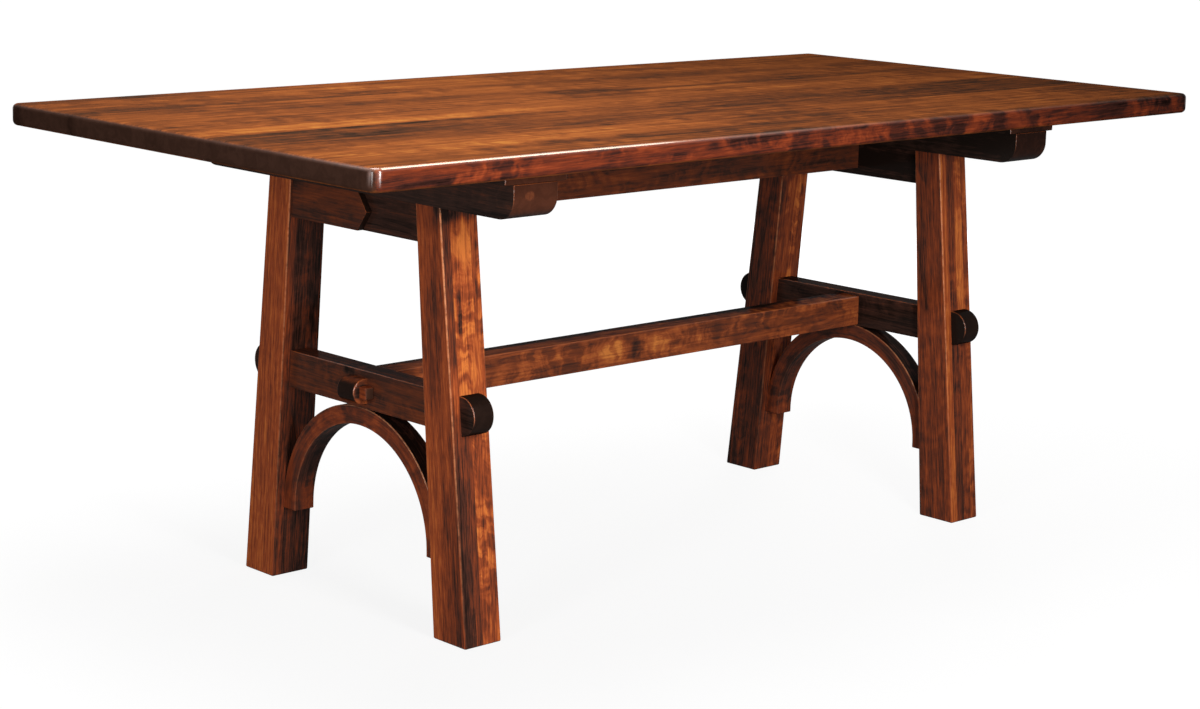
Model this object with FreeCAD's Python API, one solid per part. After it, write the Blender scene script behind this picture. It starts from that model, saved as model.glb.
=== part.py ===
import FreeCAD, Part
import os

from FreeCAD import Vector

# Trestle dining table. Millimetres, +Z up, origin on the floor under the middle of the top.
# X runs along the length of the top and Y across it. The front long side faces -Y.

# Top, glued up edge to edge from planks that run the whole length.
table_height = 762.0
top_length = 1829.0
top_width = 914.0
top_thickness = 34.0
top_corner_radius = 16.0
top_edge_round = 8.0
back_plank_width = 177.0
mid_back_plank_width = 185.0
centre_plank_width = 165.0
mid_front_plank_width = 170.0

# Trestles, one under each end, their middle planes this far apart.
trestle_spacing = 1130.0

# Bearer across the legs of each trestle, and the wider cleat strip between it and the top. The
# two are equally long.
bearer_length = 760.0
cleat_thickness = 21.0
cleat_width = 116.0
cleat_corner_radius = 2.0
bearer_height = 52.0
bearer_width = 83.0
bearer_corner_radius = 32.0

# Legs. They splay across the table and taper upwards. Two face boards close a thicker core.
leg_face_board = 16.5
leg_core_board = 38.0
foot_spread = 560.0
head_spread = 420.0
foot_width = 75.0
head_width = 56.0
head_tenon_shoulder = 8.0
head_tenon_height = 30.0

# Upper cross rail between the legs, tenoned into their cores.
cross_rail_thickness = 40.0
cross_rail_height = 61.0
cross_tenon_thickness = 20.0
cross_tenon_shoulder = 8.0
cross_tenon_length = 22.0

# Board lapped on the outer face of the upper cross rail, cut to a point past the middle.
lap_thickness = 11.0
lap_past_middle = 10.0
lap_point_length = 22.0

# Lower rail, which runs through both legs and ends in half-round noses.
lower_rail_bottom = 317.0
lower_rail_height = 60.0
leg_tenon_projection = 32.0

# Arched brace between the legs, its crown under the lower rail.
arch_thickness = 38.0
arch_inner_radius = 166.0
arch_rib = 30.0
arch_crown_flat = 1.0
arch_foot_drop = 7.0

# Stretcher between the lower rails, with a keyed tusk tenon at each end.
stretcher_bottom = 319.0
stretcher_height = 53.0
stretcher_width = 50.0
tusk_height = 40.0
tusk_width = 42.0
tusk_projection = 27.0
tusk_clearance = 0.2

# Tapered key through each tusk.
key_height = 19.0
key_head_thickness = 16.0
key_tip_thickness = 13.0
key_head_overhang = 17.0
key_tip_overhang = 13.0
key_end_chamfer = 1.5
key_side_clearance = 0.15
key_draw_gap = 2.0

# Long rail between the upper cross rails, on dry stub tenons.
long_rail_height = 49.0
long_rail_thickness = 20.0
stub_tenon_thickness = 12.0
stub_tenon_shoulder = 8.0
stub_tenon_length = 20.0
stub_clearance = 0.2

# Screws up through each bearer and cleat strip into the top.
top_screw_radius = 3.0
top_screw_bite = 22.0
top_screw_head_radius = 6.5
top_screw_head_height = 5.0
top_screw_point = 5.0
top_screw_socket_radius = 2.6
top_screw_socket_depth = 3.0
top_screw_hole_clearance = 0.5
counterbore_radius = 9.0
counterbore_depth = 22.0
top_screw_inner_offset = 125.0
top_screw_outer_offset = 335.0

# Countersunk screws that hold each cleat strip down on its bearer.
cleat_screw_radius = 2.25
cleat_screw_length = 45.0
cleat_screw_head_radius = 4.5
cleat_screw_head_height = 3.0
cleat_screw_point = 4.0
cleat_screw_inner_offset = 60.0
cleat_screw_outer_offset = 255.0

# Dowels between the feet of each arch and the leg cores.
arch_dowel_radius = 4.0
arch_dowel_in_arch = 16.0
arch_dowel_in_leg = 20.0
arch_dowel_rise = 20.0

# Levels and places that follow from the sizes above.
top_bottom = table_height - top_thickness
cleat_bottom = top_bottom - cleat_thickness
bearer_bottom = cleat_bottom - bearer_height
leg_length = bearer_bottom
cross_rail_bottom = bearer_bottom - cross_rail_height
lower_rail_top = lower_rail_bottom + lower_rail_height
lower_rail_middle = lower_rail_bottom + lower_rail_height / 2
lower_rail_thickness = leg_core_board
core_half = leg_core_board / 2
arch_outer_radius = arch_inner_radius + arch_rib
arch_centre_height = lower_rail_bottom + arch_crown_flat - arch_outer_radius
arch_foot_height = arch_centre_height - arch_foot_drop
arch_dowel_height = arch_foot_height + arch_dowel_rise
stretcher_middle = stretcher_bottom + stretcher_height / 2
long_rail_bottom = bearer_bottom - long_rail_height
front_edge = -top_width / 2
back_edge = top_width / 2
key_length = tusk_width + key_head_overhang + key_tip_overhang
key_head_y = -tusk_width / 2 - key_head_overhang
key_tip_y = tusk_width / 2 + key_tip_overhang
counterbore_top = bearer_bottom + counterbore_depth
top_screw_offsets = [
    -top_screw_outer_offset,
    -top_screw_inner_offset,
    top_screw_inner_offset,
    top_screw_outer_offset,
]
cleat_screw_offsets = [
    -cleat_screw_outer_offset,
    -cleat_screw_inner_offset,
    cleat_screw_inner_offset,
    cleat_screw_outer_offset,
]

UP = Vector(0, 0, 1)
ALONG = Vector(1, 0, 0)
ACROSS = Vector(0, 1, 0)


def block(x_low, x_high, y_low, y_high, z_low, z_high):
    """Box between two corners."""
    corner = Vector(x_low, y_low, z_low)
    return Part.makeBox(x_high - x_low, y_high - y_low, z_high - z_low, corner)


def side_prism(outline, x_low, x_high):
    """Solid with the given (y, z) outline, between two planes across the length."""
    points = [Vector(x_low, y, z) for y, z in outline]
    face = Part.Face(Part.makePolygon(points + [points[0]]))
    return face.extrude(Vector(x_high - x_low, 0, 0))


def plan_prism(outline, z_low, z_high):
    """Solid with the given (x, y) outline, between two levels."""
    points = [Vector(x, y, z_low) for x, y in outline]
    face = Part.Face(Part.makePolygon(points + [points[0]]))
    return face.extrude(Vector(0, 0, z_high - z_low))


def straight_edges(solid, direction, wanted):
    """Straight edges along a direction whose middle point passes a test."""
    found = []
    for edge in solid.Edges:
        if len(edge.Vertexes) < 2:
            continue
        run = edge.Vertexes[1].Point.sub(edge.Vertexes[0].Point)
        if run.Length < 1e-6:
            continue
        if abs(run.normalize().dot(direction)) > 0.999 and wanted(edge.CenterOfMass):
            found.append(edge)
    return found


def save(name, shape):
    shape.exportStep("parts/" + name + ".step")


# ---- Places on the sloping faces of a leg, measured from the middle of the trestle ----


def outer_reach(height):
    """Distance from the middle plane to a leg's outer face at a height."""
    lean = (foot_spread - head_spread) / 2
    return foot_spread / 2 - lean * height / leg_length


def inner_reach(height):
    """Distance from the middle plane to a leg's inner face at a height."""
    width = foot_width + (head_width - foot_width) * height / leg_length
    return outer_reach(height) - width


def leg_slice(side, x_low, x_high, z_low, z_high):
    """Piece of a leg between two levels. side is -1 for the front leg and 1 for the back."""
    outline = [
        (side * inner_reach(z_low), z_low),
        (side * outer_reach(z_low), z_low),
        (side * outer_reach(z_high), z_high),
        (side * inner_reach(z_high), z_high),
    ]
    return side_prism(outline, x_low, x_high)


def between_legs(x_low, x_high, z_low, z_high):
    """Space between the inner faces of the two legs, between two levels."""
    outline = [
        (-inner_reach(z_low), z_low),
        (inner_reach(z_low), z_low),
        (inner_reach(z_high), z_high),
        (-inner_reach(z_high), z_high),
    ]
    return side_prism(outline, x_low, x_high)


# ---- Pieces of one trestle, about its own middle plane, its outer side towards -X ----


def head_tenon(side):
    """Tenon on top of a leg's core, which enters the bearer."""
    low = inner_reach(leg_length) + head_tenon_shoulder
    high = outer_reach(leg_length) - head_tenon_shoulder
    y_low, y_high = sorted((side * low, side * high))
    top = leg_length + head_tenon_height
    return block(-core_half, core_half, y_low, y_high, leg_length, top)


def cross_tenon(side):
    """Tenon on one end of the upper cross rail, which enters a leg's core."""
    z_low = cross_rail_bottom + cross_tenon_shoulder
    z_high = bearer_bottom - cross_tenon_shoulder
    half = cross_tenon_thickness / 2
    outline = [
        (side * inner_reach(z_low), z_low),
        (side * (inner_reach(z_low) + cross_tenon_length), z_low),
        (side * (inner_reach(z_high) + cross_tenon_length), z_high),
        (side * inner_reach(z_high), z_high),
    ]
    return side_prism(outline, -half, half)


def arch_dowel(side):
    """Dowel from one foot of the arch into the leg's core."""
    face = inner_reach(arch_dowel_height)
    start = Vector(0, side * (face - arch_dowel_in_arch), arch_dowel_height)
    length = arch_dowel_in_arch + arch_dowel_in_leg
    return Part.makeCylinder(arch_dowel_radius, length, start, ACROSS * side)


def core_upper(side):
    """Core of a leg from the top of the lower rail up, with its head tenon."""
    core = leg_slice(side, -core_half, core_half, lower_rail_top, leg_length)
    return core.fuse(head_tenon(side)).removeSplitter().cut(cross_tenon(side))


def core_lower(side):
    """Core of a leg from the floor to the underside of the lower rail."""
    core = leg_slice(side, -core_half, core_half, 0, lower_rail_bottom)
    return core.cut(arch_dowel(side))


def outer_face_board(side):
    """Full-height board on the side of a leg that faces the end of the table."""
    return leg_slice(side, -core_half - leg_face_board, -core_half, 0, leg_length)


def inner_face_board(side):
    """Full-height board on the side of a leg that faces the middle of the table."""
    return leg_slice(side, core_half, core_half + leg_face_board, 0, leg_length)


def cross_rail():
    """Upper cross rail with its tenons and the mortise for the long rail."""
    half = cross_rail_thickness / 2
    rail = between_legs(-half, half, cross_rail_bottom, bearer_bottom)
    for side in (-1, 1):
        rail = rail.fuse(cross_tenon(side))
    return rail.removeSplitter().cut(stub_tenon(stub_clearance))


def pointed_lap():
    """Board on the outer face of the upper cross rail, from the back leg to its point."""
    x_high = -cross_rail_thickness / 2
    point_height = cross_rail_bottom + cross_rail_height / 2
    outline = [
        (inner_reach(cross_rail_bottom), cross_rail_bottom),
        (inner_reach(bearer_bottom), bearer_bottom),
        (-lap_past_middle, bearer_bottom),
        (-lap_past_middle - lap_point_length, point_height),
        (-lap_past_middle, cross_rail_bottom),
    ]
    return side_prism(outline, x_high - lap_thickness, x_high)


def lower_rail():
    """Rail through both legs, with a half-round nose past each and the tusk's mortise."""
    x_low = -lower_rail_thickness / 2
    radius = lower_rail_height / 2
    nose_centre = outer_reach(lower_rail_middle) + leg_tenon_projection - radius
    rail = block(
        x_low, -x_low, -nose_centre, nose_centre, lower_rail_bottom, lower_rail_top
    )
    for side in (-1, 1):
        start = Vector(x_low, side * nose_centre, lower_rail_middle)
        nose = Part.makeCylinder(radius, lower_rail_thickness, start, ALONG)
        rail = rail.fuse(nose)
    return rail.removeSplitter().cut(tusk_body(tusk_clearance))


def arch():
    """Half-ring brace, its feet cut to the legs' inner faces and its crown to the rail."""
    x_low = -arch_thickness / 2
    start = Vector(x_low, 0, arch_centre_height)
    ring = Part.makeCylinder(arch_outer_radius, arch_thickness, start, ALONG)
    ring = ring.cut(Part.makeCylinder(arch_inner_radius, arch_thickness, start, ALONG))
    upper = block(
        x_low,
        -x_low,
        -arch_outer_radius,
        arch_outer_radius,
        arch_centre_height,
        lower_rail_bottom,
    )
    brace = ring.common(upper)
    for side in (-1, 1):
        y_low, y_high = sorted((side * arch_inner_radius, side * arch_outer_radius))
        foot = block(x_low, -x_low, y_low, y_high, arch_foot_height, arch_centre_height)
        brace = brace.fuse(foot)
    brace = brace.removeSplitter()
    brace = brace.common(
        between_legs(x_low, -x_low, arch_foot_height, lower_rail_bottom)
    )
    for side in (-1, 1):
        brace = brace.cut(arch_dowel(side))
    return brace


def tusk_body(clearance):
    """Tusk tenon from the rail's inner face to its half-round end, grown by a clearance."""
    half_height = tusk_height / 2
    tip = -lower_rail_thickness / 2 - tusk_projection
    nose_centre = tip + half_height
    half_width = tusk_width / 2 + clearance
    shank = block(
        nose_centre,
        lower_rail_thickness / 2,
        -half_width,
        half_width,
        stretcher_middle - half_height - clearance,
        stretcher_middle + half_height + clearance,
    )
    start = Vector(nose_centre, -half_width, stretcher_middle)
    nose = Part.makeCylinder(half_height + clearance, 2 * half_width, start, ACROSS)
    return shank.fuse(nose).removeSplitter()


def key_slot():
    """Tapered slot across the tusk for its key."""
    taper = (key_head_thickness - key_tip_thickness) / key_length
    rail_face = -lower_rail_thickness / 2
    head_x = rail_face - key_head_thickness - key_side_clearance
    tip_x = head_x + taper * key_length
    half = key_height / 2 + key_side_clearance
    outline = [
        (rail_face + key_draw_gap, key_head_y),
        (head_x, key_head_y),
        (tip_x, key_tip_y),
        (rail_face + key_draw_gap, key_tip_y),
    ]
    return plan_prism(outline, stretcher_middle - half, stretcher_middle + half)


def tusk_key():
    """Tapered key that bears on the rail's outer face, its thick end towards the front."""
    rail_face = -lower_rail_thickness / 2
    outline = [
        (rail_face, key_head_y),
        (rail_face - key_head_thickness, key_head_y),
        (rail_face - key_tip_thickness, key_tip_y),
        (rail_face, key_tip_y),
    ]
    half = key_height / 2
    key = plan_prism(outline, stretcher_middle - half, stretcher_middle + half)
    end_edges = []
    for edge in key.Edges:
        across = edge.CenterOfMass.y
        if abs(across - key_head_y) < 0.01 or abs(across - key_tip_y) < 0.01:
            end_edges.append(edge)
    return key.makeChamfer(key_end_chamfer, end_edges)


def stub_tenon(clearance):
    """Stub tenon of the long rail inside the upper cross rail, grown by a clearance."""
    half = stub_tenon_thickness / 2 + clearance
    face = cross_rail_thickness / 2
    return block(
        face - stub_tenon_length - clearance,
        face,
        -half,
        half,
        long_rail_bottom + stub_tenon_shoulder - clearance,
        bearer_bottom - stub_tenon_shoulder + clearance,
    )


def bearer():
    """Bearer across the legs' heads, with rounded lower ends, mortises and screw holes."""
    half_width = bearer_width / 2
    half_length = bearer_length / 2
    beam = block(
        -half_width, half_width, -half_length, half_length, bearer_bottom, cleat_bottom
    )
    lower_ends = straight_edges(
        beam,
        ALONG,
        lambda point: abs(point.z - bearer_bottom) < 0.01,
    )
    beam = beam.makeFillet(bearer_corner_radius, lower_ends)
    for side in (-1, 1):
        beam = beam.cut(head_tenon(side))
    for offset in top_screw_offsets:
        beam = beam.cut(upright(offset, counterbore_radius, bearer_bottom, counterbore_top))
        beam = beam.cut(top_screw_hole(offset))
    for offset in cleat_screw_offsets:
        beam = beam.cut(cleat_screw(offset))
    return beam


def cleat_strip():
    """Thin wide strip between the bearer and the top."""
    half_width = cleat_width / 2
    half_length = bearer_length / 2
    strip = block(
        -half_width, half_width, -half_length, half_length, cleat_bottom, top_bottom
    )
    lower_ends = straight_edges(
        strip,
        ALONG,
        lambda point: abs(point.z - cleat_bottom) < 0.01,
    )
    strip = strip.makeFillet(cleat_corner_radius, lower_ends)
    for offset in top_screw_offsets:
        strip = strip.cut(top_screw_hole(offset))
    for offset in cleat_screw_offsets:
        strip = strip.cut(cleat_screw(offset))
    return strip


# ---- Screws, on the middle plane of a trestle ----


def upright(offset, radius, z_low, z_high):
    """Upright cylinder at a place across the table."""
    return Part.makeCylinder(radius, z_high - z_low, Vector(0, offset, z_low), UP)


def top_screw_hole(offset):
    """Clearance hole for a top screw through the bearer and the cleat strip."""
    radius = top_screw_radius + top_screw_hole_clearance
    return upright(offset, radius, counterbore_top, top_bottom)


def top_screw_pilot(offset):
    """Threaded length of a top screw in the underside of the top."""
    tip = top_bottom + top_screw_bite
    shank = upright(offset, top_screw_radius, top_bottom, tip - top_screw_point)
    point = Part.makeCone(
        top_screw_radius, 0, top_screw_point, Vector(0, offset, tip - top_screw_point), UP
    )
    return shank.fuse(point)


def top_screw(offset):
    """Socket-head screw, its head in the counterbore under the bearer."""
    head = upright(
        offset, top_screw_head_radius, counterbore_top - top_screw_head_height, counterbore_top
    )
    head_bottom = counterbore_top - top_screw_head_height
    socket = upright(
        offset, top_screw_socket_radius, head_bottom, head_bottom + top_screw_socket_depth
    )
    shank = upright(offset, top_screw_radius, counterbore_top, top_bottom)
    screw = head.fuse(shank).fuse(top_screw_pilot(offset)).removeSplitter()
    return screw.cut(socket)


def cleat_screw(offset):
    """Countersunk screw down through the cleat strip into the bearer."""
    tip = top_bottom - cleat_screw_length
    head = Part.makeCone(
        cleat_screw_radius,
        cleat_screw_head_radius,
        cleat_screw_head_height,
        Vector(0, offset, top_bottom - cleat_screw_head_height),
        UP,
    )
    shank = upright(
        offset, cleat_screw_radius, tip + cleat_screw_point, top_bottom - cleat_screw_head_height
    )
    point = Part.makeCone(
        0, cleat_screw_radius, cleat_screw_point, Vector(0, offset, tip), UP
    )
    return head.fuse(shank).fuse(point).removeSplitter()


# ---- Placing the trestles ----


def place_left(shape):
    """Trestle piece at the left end, its outer side towards -X."""
    placed = shape.copy()
    placed.translate(Vector(-trestle_spacing / 2, 0, 0))
    return placed


def place_right(shape):
    """Trestle piece at the right end: the same trestle turned half round."""
    placed = shape.copy()
    placed.rotate(Vector(0, 0, 0), UP, 180)
    placed.translate(Vector(trestle_spacing / 2, 0, 0))
    return placed


def save_trestle(end, place, front_side):
    """Write every piece of one trestle. front_side says which local leg faces the front."""
    for corner, side in (("front", front_side), ("back", -front_side)):
        leg = end + "_" + corner + "_leg"
        save(leg + "_outer_board", place(outer_face_board(side)))
        save(leg + "_inner_board", place(inner_face_board(side)))
        save(leg + "_core_upper", place(core_upper(side)))
        save(leg + "_core_lower", place(core_lower(side)))
    save(end + "_upper_cross_rail", place(cross_rail()))
    save(end + "_pointed_lap", place(pointed_lap()))
    save(end + "_lower_rail", place(lower_rail()))
    save(end + "_arch", place(arch()))
    save(end + "_arch_dowels", place(Part.makeCompound([arch_dowel(-1), arch_dowel(1)])))
    save(end + "_tusk_key", place(tusk_key()))
    save(end + "_bearer", place(bearer()))
    save(end + "_cleat_strip", place(cleat_strip()))
    top_screws = [top_screw(offset) for offset in top_screw_offsets]
    save(end + "_top_screws", place(Part.makeCompound(top_screws)))
    cleat_screws = [cleat_screw(offset) for offset in cleat_screw_offsets]
    save(end + "_cleat_screws", place(Part.makeCompound(cleat_screws)))


# ---- Long pieces between the trestles ----


def stretcher():
    """Stretcher between the lower rails, with its tusks and their key slots."""
    half_length = (trestle_spacing - lower_rail_thickness) / 2
    half_width = stretcher_width / 2
    top = stretcher_bottom + stretcher_height
    bar = block(-half_length, half_length, -half_width, half_width, stretcher_bottom, top)
    tusk = tusk_body(0)
    bar = bar.fuse(place_left(tusk)).fuse(place_right(tusk)).removeSplitter()
    return bar.cut(place_left(key_slot())).cut(place_right(key_slot()))


def long_rail():
    """Long rail between the upper cross rails, with its stub tenons."""
    half_length = (trestle_spacing - cross_rail_thickness) / 2
    half = long_rail_thickness / 2
    bar = block(-half_length, half_length, -half, half, long_rail_bottom, bearer_bottom)
    tenon = stub_tenon(0)
    return bar.fuse(place_left(tenon)).fuse(place_right(tenon)).removeSplitter()


# ---- The top ----


def whole_top():
    """Slab with rounded corners and edges and the screws' pilot holes."""
    slab = block(
        -top_length / 2, top_length / 2, front_edge, back_edge, top_bottom, table_height
    )
    corners = straight_edges(slab, UP, lambda point: True)
    slab = slab.makeFillet(top_corner_radius, corners)
    rims = []
    for edge in slab.Edges:
        level = edge.CenterOfMass.z
        if abs(level - table_height) < 0.01 or abs(level - top_bottom) < 0.01:
            rims.append(edge)
    slab = slab.makeFillet(top_edge_round, rims)
    for offset in top_screw_offsets:
        slab = slab.cut(place_left(top_screw_pilot(offset)))
        slab = slab.cut(place_right(top_screw_pilot(offset)))
    return slab


def save_planks(slab):
    """Cut the slab into its planks, from the back edge to the front edge."""
    seams = [back_edge, back_edge - back_plank_width]
    seams.append(seams[-1] - mid_back_plank_width)
    seams.append(seams[-1] - centre_plank_width)
    seams.append(seams[-1] - mid_front_plank_width)
    seams.append(front_edge)
    names = ["back", "mid_back", "centre", "mid_front", "front"]
    half = top_length / 2
    for name, y_high, y_low in zip(names, seams, seams[1:]):
        slot = block(-half, half, y_low, y_high, top_bottom, table_height)
        save("top_plank_" + name, slab.common(slot))


os.makedirs("parts", exist_ok=True)
save_planks(whole_top())
save_trestle("left", place_left, -1)
save_trestle("right", place_right, 1)
save("stretcher", stretcher())
save("long_rail", long_rail())
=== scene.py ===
"""Trestle dining table: dressed boards, stained and lacquered, with a camera and soft light."""
import math
import random

import bmesh
import bpy
from mathutils import Matrix, Vector
from mathutils.bvhtree import BVHTree


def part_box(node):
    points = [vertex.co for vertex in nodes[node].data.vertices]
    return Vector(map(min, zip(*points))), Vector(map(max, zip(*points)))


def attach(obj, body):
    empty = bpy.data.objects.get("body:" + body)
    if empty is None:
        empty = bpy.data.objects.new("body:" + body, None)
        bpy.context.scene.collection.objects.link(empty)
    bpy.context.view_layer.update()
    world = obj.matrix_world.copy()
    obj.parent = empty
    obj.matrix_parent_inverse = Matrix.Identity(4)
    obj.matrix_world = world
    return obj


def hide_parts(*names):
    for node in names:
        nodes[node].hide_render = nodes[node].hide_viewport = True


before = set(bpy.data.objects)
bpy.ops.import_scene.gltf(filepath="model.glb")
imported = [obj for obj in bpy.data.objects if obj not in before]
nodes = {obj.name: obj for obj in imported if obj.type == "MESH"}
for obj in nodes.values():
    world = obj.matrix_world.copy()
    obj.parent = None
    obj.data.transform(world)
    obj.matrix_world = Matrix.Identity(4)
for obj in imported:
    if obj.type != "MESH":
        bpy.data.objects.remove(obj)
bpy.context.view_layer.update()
scene = bpy.context.scene

MM = 0.001
ENDS = ("left", "right")
SIDE_OF_END = {"left": -1.0, "right": 1.0}
ALONG = Vector((1, 0, 0))
ACROSS = Vector((0, 1, 0))
UP = Vector((0, 0, 1))

# Camera: where it stands, how it is turned, and its lens on a 36 mm wide sensor.
camera_place = (-2.9256, -3.0281, 1.1973)
camera_yaw = math.radians(-43.254)
camera_pitch = math.radians(-11.698)
camera_roll = math.radians(1.329)
camera_lens = 76.126
sensor_width = 36.0

# Sizes that the looks share with the solids, in metres.
top_corner_radius = 16 * MM
top_edge_round = 8 * MM
trestle_middle = 565 * MM
foot_middle = 242.5 * MM
head_middle = 182 * MM
leg_length = 655 * MM
leg_foot_inside = 205 * MM
leg_lean_inside = 0.0779
arch_radius = 181 * MM
arch_foot = 7 * MM
arch_centre = 122 * MM
arch_depth = 30 * MM
arch_thickness = 38 * MM
lower_rail_underside = 317 * MM

# Arrises that the finish eases, in metres.
leg_arris = 2.6 * MM
arch_arris = 2 * MM
arch_foot_arris = 1.5 * MM
arris_steps = 3

# By these the meshes are cleaned, sawn and shaded, in metres and radians.
merge_distance = 0.004 * MM
saw_distance = 0.0001 * MM
contact_distance = 0.4 * MM
flat_angle = math.radians(0.4)
arris_angle = math.radians(32)
crease_angle = math.radians(38)

# Edges within a round that carry its wear to the ends are longer than this and turn by more.
long_arris = 10 * MM
round_step = math.radians(4)

# Light of the room, as a share of white, and the floor's half width in metres.
sky_light = 0.13
floor_reach = 40.0

# Seeds of the boards' places in their logs are counted up from these.
TOP_SEED = 100
LEG_SEED = 200
RAIL_SEED = 300
ARCH_SEED = 400


# ---------------------------------------------------------------- camera and lamps

def make_camera():
    data = bpy.data.cameras.new("camera")
    data.sensor_fit = "HORIZONTAL"
    data.sensor_width = sensor_width
    data.lens = camera_lens
    data.clip_end = 200.0
    camera = bpy.data.objects.new("camera", data)
    turn = (
        Matrix.Rotation(camera_yaw, 4, "Z")
        @ Matrix.Rotation(math.pi / 2 + camera_pitch, 4, "X")
        @ Matrix.Rotation(camera_roll, 4, "Z")
    )
    camera.matrix_world = Matrix.Translation(camera_place) @ turn
    scene.collection.objects.link(camera)
    scene.camera = camera


def soft_light(
    name, place, target, width, height, watts, tint=(1.0, 1.0, 1.0), gloss_only=False, matt_only=False
):
    """Rectangular lamp that faces its target, for gloss or for matt light alone if it is told so."""
    data = bpy.data.lights.new(name, "AREA")
    data.shape = "RECTANGLE"
    data.size = width
    data.size_y = height
    data.energy = watts
    data.color = tint
    light = bpy.data.objects.new(name, data)
    light.visible_camera = False
    light.visible_diffuse = not gloss_only
    light.visible_glossy = not matt_only
    light.location = place
    reach = Vector(target) - Vector(place)
    light.rotation_euler = reach.to_track_quat("-Z", "Y").to_euler()
    scene.collection.objects.link(light)


# ---------------------------------------------------------------- node trees

class Wiring:
    """Adds nodes to a node tree and links them. A value is a number, a colour or another socket."""

    def __init__(self, tree):
        self.tree = tree
        self.count = 0

    def add(self, kind, sources=None, **settings):
        node = self.tree.nodes.new(kind)
        node.location = (190 * (self.count % 12), -260 * (self.count // 12))
        self.count += 1
        for key, value in settings.items():
            setattr(node, key, value)
        for key, source in (sources or {}).items():
            self.feed(node.inputs[key], source)
        return node

    def made(self, kind, sources=None, **settings):
        """First output of a new node."""
        return self.add(kind, sources, **settings).outputs[0]

    def feed(self, socket, source):
        if isinstance(source, bpy.types.NodeSocket):
            self.tree.links.new(source, socket)
        else:
            socket.default_value = source

    def math(self, operation, *values, clamp=False):
        node = self.add("ShaderNodeMath", operation=operation, use_clamp=clamp)
        for socket, value in zip(node.inputs, values):
            self.feed(socket, value)
        return node.outputs[0]

    def vector(self, operation, *values):
        node = self.add("ShaderNodeVectorMath", operation=operation)
        for socket, value in zip(node.inputs, values):
            self.feed(socket, value)
        return node.outputs["Value" if operation in ("DOT_PRODUCT", "LENGTH") else "Vector"]

    def parts(self, vector):
        return self.add("ShaderNodeSeparateXYZ", {"Vector": vector}).outputs

    def joined(self, **axes):
        return self.made("ShaderNodeCombineXYZ", axes)

    def read(self, name, output="Fac"):
        """Value that the piece's mesh carries."""
        return self.add("ShaderNodeAttribute", attribute_name=name).outputs[output]

    def group(self, name, sources):
        """Outputs of a node group fed by the names of its inputs."""
        return self.add("ShaderNodeGroup", sources, node_tree=bpy.data.node_groups[name]).outputs

    def noise(self, place, stretch, detail=2.0, roughness=0.5, distortion=0.0):
        """Noise between 0 and 1, stretch cells to the metre along each axis."""
        settings = {
            "Vector": self.vector("MULTIPLY", place, stretch),
            "Scale": 1.0,
            "Detail": detail,
            "Roughness": roughness,
            "Distortion": distortion,
        }
        return self.add("ShaderNodeTexNoise", settings).outputs["Fac"]

    def swing(self, value, reach=0.2):
        """Spreads noise round its middle to between -1 and 1."""
        return self.ease(value, 0.5 - reach, 0.5 + reach, -1.0, 1.0)

    def ease(self, value, low, high, to_low=0.0, to_high=1.0):
        """Smooth step from to_low at low to to_high at high."""
        node = self.add("ShaderNodeMapRange", interpolation_type="SMOOTHSTEP")
        for key, source in zip(
            ("Value", "From Min", "From Max", "To Min", "To Max"),
            (value, low, high, to_low, to_high),
        ):
            self.feed(node.inputs[key], source)
        return node.outputs["Result"]

    def blend(self, share, first, second):
        node = self.add("ShaderNodeMix", data_type="RGBA")
        self.feed(node.inputs["Factor"], share)
        colours = [socket for socket in node.inputs if socket.type == "RGBA"]
        self.feed(colours[0], first)
        self.feed(colours[1], second)
        return [socket for socket in node.outputs if socket.type == "RGBA"][0]


def new_group(name, inputs, outputs, kind="ShaderNodeTree"):
    """Node group with named inputs (name, kind, value) and outputs (name, kind)."""
    tree = bpy.data.node_groups.new(name, kind)
    for label, socket_kind, value in inputs:
        socket = tree.interface.new_socket(name=label, in_out="INPUT", socket_type=socket_kind)
        if value is not None:
            socket.default_value = value
    for label, socket_kind in outputs:
        tree.interface.new_socket(name=label, in_out="OUTPUT", socket_type=socket_kind)
    wiring = Wiring(tree)
    given = wiring.add("NodeGroupInput").outputs
    result = wiring.add("NodeGroupOutput").inputs
    return wiring, given, result


FLOAT = "NodeSocketFloat"
COLOUR = "NodeSocketColor"
VECTOR = "NodeSocketVector"
SURFACE = "NodeSocketMaterial"
GEOMETRY = "NodeSocketGeometry"


# ---------------------------------------------------------------- finishes

def make_growth_rings():
    """Latewood lines of rings round a heart that runs along the board."""
    w, given, result = new_group(
        "growth_rings",
        [
            ("Vector", VECTOR, None),
            ("Ring Width", FLOAT, 0.005),
            ("Waviness", FLOAT, 0.006),
        ],
        [("Rings", FLOAT)],
    )
    parts = w.parts(given["Vector"])
    drift = w.noise(given["Vector"], (1.6, 9.0, 9.0), 3.0)
    wobble = w.noise(given["Vector"], (9.0, 60.0, 60.0), 2.0)
    square = w.math("MULTIPLY_ADD", parts["Y"], parts["Y"], w.math("MULTIPLY", parts["Z"], parts["Z"]))
    radius = w.math("SQRT", square)
    large = w.math("MULTIPLY", given["Waviness"], 4.0)
    shift = w.math("MULTIPLY", w.math("SUBTRACT", drift, 0.5), large)
    small = w.math("MULTIPLY", w.math("SUBTRACT", wobble, 0.5), given["Waviness"])
    radius = w.math("ADD", radius, w.math("ADD", shift, small))
    turn = w.math("DIVIDE", radius, given["Ring Width"])
    part = w.math("FRACT", turn)
    year = w.add(
        "ShaderNodeTexWhiteNoise", {"W": w.math("FLOOR", turn)}, noise_dimensions="1D"
    ).outputs["Value"]
    line = w.math("MULTIPLY", w.math("POWER", part, 3.2), w.ease(part, 1.0, 0.93))
    strength = w.math("ADD", w.math("MULTIPLY", year, 0.8), 0.25)
    w.feed(result["Rings"], w.math("MULTIPLY", line, strength))


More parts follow.
